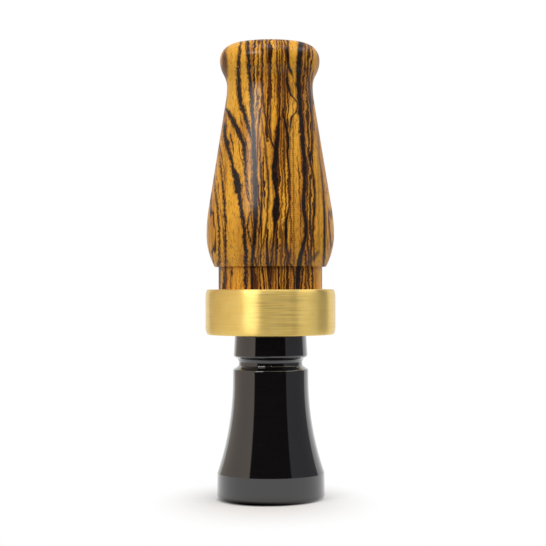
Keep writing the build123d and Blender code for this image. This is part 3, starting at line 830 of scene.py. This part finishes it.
# %% Film material
def drafting_film():
    """Frosted polyester drafting film."""
    made, tree, mm = new_material("frosted_polyester_film")
    frost = add(tree, "TexNoise", {"Vector": mm, "Scale": 3.0, "Detail": 5.0, "Roughness": 0.75})
    cloud = add(tree, "TexNoise", {"Vector": mm, "Scale": 0.22, "Detail": 2.0})
    rough = add(tree, "MapRange", {0: frost.outputs[0], 1: 0.3, 2: 0.7, 3: 0.38, 4: 0.52})
    colour = add(tree, "Mix", {0: cloud.outputs[0], 6: tone("#DDE3E4"), 7: tone("#EEF0EC")},
                 data_type="RGBA")
    relief = add(tree, "Bump", {"Height": frost.outputs[0], "Strength": 0.2,
                                "Distance": 0.01 * MM})
    shader = add(tree, "BsdfPrincipled", {"Base Color": colour.outputs[2],
                                          "Roughness": rough.outputs[0], "IOR": 1.6,
                                          "Transmission Weight": 0.55,
                                          "Normal": relief.outputs[0]})
    return finish_material(made, tree, shader)


# %% Cutting the reeds
TIP_ROUND = 3.4 * MM
DIMPLE_RADIUS = 1.1 * MM
DIMPLE_HEIGHT = 0.21 * MM
DIMPLE_INSET = 12.0 * MM            # from the upper reed's tip
COARSE_CUT, FINE_CUT = 1.5 * MM, 0.2 * MM
CLAMP_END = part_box("wedge_cork")[1][2]
FLAT_END = CLAMP_END + 12.2 * MM    # the wedge slides 12 mm over the upper reed, flat up to here
ACROSS, UP = Vector((1, 0, 0)), Vector((0, 0, 1))
film = drafting_film()
lower_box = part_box("lower_reed")
film_thickness = lower_box[1][1] - lower_box[0][1]


def cut_reed(name, dimpled):
    """A film strip in its CAD solid's place, with rounded tip corners and perhaps a dimple."""
    low, high = (Vector(corner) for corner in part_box(name))
    shape = bmesh.new()
    corners = [(low.x, 0, low.z), (high.x, 0, low.z), (high.x, 0, high.z), (low.x, 0, high.z)]
    bottom_left, bottom_right, top_right, top_left = (shape.verts.new(c) for c in corners)
    shape.faces.new((bottom_left, bottom_right, top_right, top_left))
    bmesh.ops.bevel(shape, geom=[top_left, top_right], offset=TIP_ROUND, offset_type="OFFSET",
                    segments=8, profile=0.5, affect="VERTICES", material=-1)
    cut_bands(shape, UP, even_steps(low.z, high.z, COARSE_CUT))
    rise = high.y - low.y - film_thickness
    dimple = Vector((0, 0, high.z - DIMPLE_INSET))
    if dimpled:
        fine = DIMPLE_RADIUS * 1.15
        cut_bands(shape, UP, even_steps(dimple.z - fine, dimple.z + fine, FINE_CUT))
        cut_bands(shape, ACROSS, even_steps(-fine, fine, FINE_CUT))
    for vert in shape.verts:
        bent = rise * max(0.0, vert.co.z - FLAT_END) / (high.z - FLAT_END)
        vert.co.y = high.y - film_thickness - bent
        if dimpled:
            off = (Vector((vert.co.x, 0, vert.co.z)) - dimple).length / DIMPLE_RADIUS
            vert.co.y += DIMPLE_HEIGHT * max(0.0, 1 - off * off)
    bmesh.ops.solidify(shape, geom=shape.faces[:], thickness=film_thickness)
    made = finished_piece(name + "_film", shape, film)
    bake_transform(made)
    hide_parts(name)
    return made


for reed_name in ("lower_reed", "upper_reed"):
    reed = cut_reed(reed_name, reed_name == "upper_reed")

# %% [markdown]
# ## Cork wedge
#
# The wedge is cut from natural cork sheet, not moulded from crumbs: soft tan, with darker
# growth lines and brown pits where the bark breathed. A real cut surface is slightly uneven,
# so the block's faces are cut fine and dented by a noise, always inwards, to stay in its slot.

# %% Cork material
def natural_cork():
    """Natural cork, knife-cut."""
    made, tree, mm = new_material("natural_cork_cut")
    cells = add(tree, "TexVoronoi", {"Vector": mm, "Scale": 2.2, "Randomness": 1.0}, feature="F1")
    shade = add(tree, "SeparateColor", {0: cells.outputs["Color"]})
    stretched = add(tree, "VectorMath", {0: mm, 1: (0.35, 1.6, 0.5)}, operation="MULTIPLY")
    streak = add(tree, "TexNoise", {"Vector": stretched.outputs[0], "Scale": 1.0, "Detail": 3.0})
    base = add(tree, "Mix", {0: shade.outputs[0], 6: tone("#C39A68"), 7: tone("#A87C4C")},
               data_type="RGBA")
    lined = add(tree, "MapRange", {0: streak.outputs[0], 1: 0.52, 2: 0.70, 4: 0.7})
    colour = add(tree, "Mix", {0: lined.outputs[0], 6: base.outputs[2], 7: tone("#7C5430")},
                 data_type="RGBA")
    spots = add(tree, "TexNoise", {"Vector": mm, "Scale": 0.9, "Detail": 4.0, "Roughness": 0.65})
    pitted = add(tree, "MapRange", {0: spots.outputs[0], 1: 0.60, 2: 0.68})
    colour = add(tree, "Mix", {0: pitted.outputs[0], 6: colour.outputs[2], 7: tone("#4B2E1B")},
                 data_type="RGBA")
    relief = add(tree, "Bump", {"Height": cells.outputs["Distance"], "Strength": 0.5,
                                "Distance": 0.1 * MM}, invert=True)
    shader = add(tree, "BsdfPrincipled", {"Base Color": colour.outputs[2], "Roughness": 0.85,
                                          "IOR": 1.4, "Sheen Weight": 0.15,
                                          "Normal": relief.outputs[0]})
    return finish_material(made, tree, shader)


# %% Cutting the wedge
NOSE_BEVEL = 0.6 * MM
EDGE_EASE = 0.18 * MM
FACE_CUT = 0.28 * MM
PIT_DEPTH = 0.14 * MM
DENT_NOISE, PIT_NOISE = 900, 620    # noise steps to a metre
PIT_SHIFT = Vector((7, 3, 1))       # so that pits and dents don't match
DENT_SHARE = 0.22                   # of the pit depth
PIT_LEVEL, PIT_SLOPE = 0.22, 2.4    # where in its noise a pit starts, and how fast it deepens
HAIR = 1e-6                         # metres; finds the edge at the nose


def cut_wedge():
    """The cork block in its slot: nose bevelled, edges eased, faces dented."""
    low, high = (Vector(corner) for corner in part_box("wedge_cork"))
    size, middle = high - low, (low + high) / 2
    shape = bmesh.new()
    placed = Matrix.Translation(middle) @ Matrix.Diagonal((*size, 1))
    bmesh.ops.create_cube(shape, size=1.0, matrix=placed)
    nose = [e for e in shape.edges
            if all(v.co.z > high.z - HAIR and v.co.y < low.y + HAIR for v in e.verts)]
    bmesh.ops.bevel(shape, geom=nose, offset=NOSE_BEVEL, offset_type="OFFSET", segments=1,
                    profile=0.5, affect="EDGES", material=-1)
    bmesh.ops.bevel(shape, geom=shape.edges[:], offset=EDGE_EASE, offset_type="OFFSET",
                    segments=2, profile=0.5, affect="EDGES", material=-1)
    for along, start, end in ((ACROSS, low.x, high.x), (Vector((0, 1, 0)), low.y, high.y),
                              (UP, low.z, high.z)):
        cut_bands(shape, along, even_steps(start, end, FACE_CUT))
    shape.normal_update()
    for vert in shape.verts:
        dent = noise.noise(vert.co * DENT_NOISE) * 0.5 + 0.5
        pit = max(0.0, noise.noise(vert.co * PIT_NOISE + PIT_SHIFT) - PIT_LEVEL) * PIT_SLOPE
        vert.co -= vert.normal * PIT_DEPTH * min(1.0, DENT_SHARE * dent + pit)
    made = finished_piece("wedge_cut_cork", shape, natural_cork())
    for face in made.data.polygons:
        face.use_smooth = True
    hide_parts("wedge_cork")
    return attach(made, "wedge")


cut_wedge()
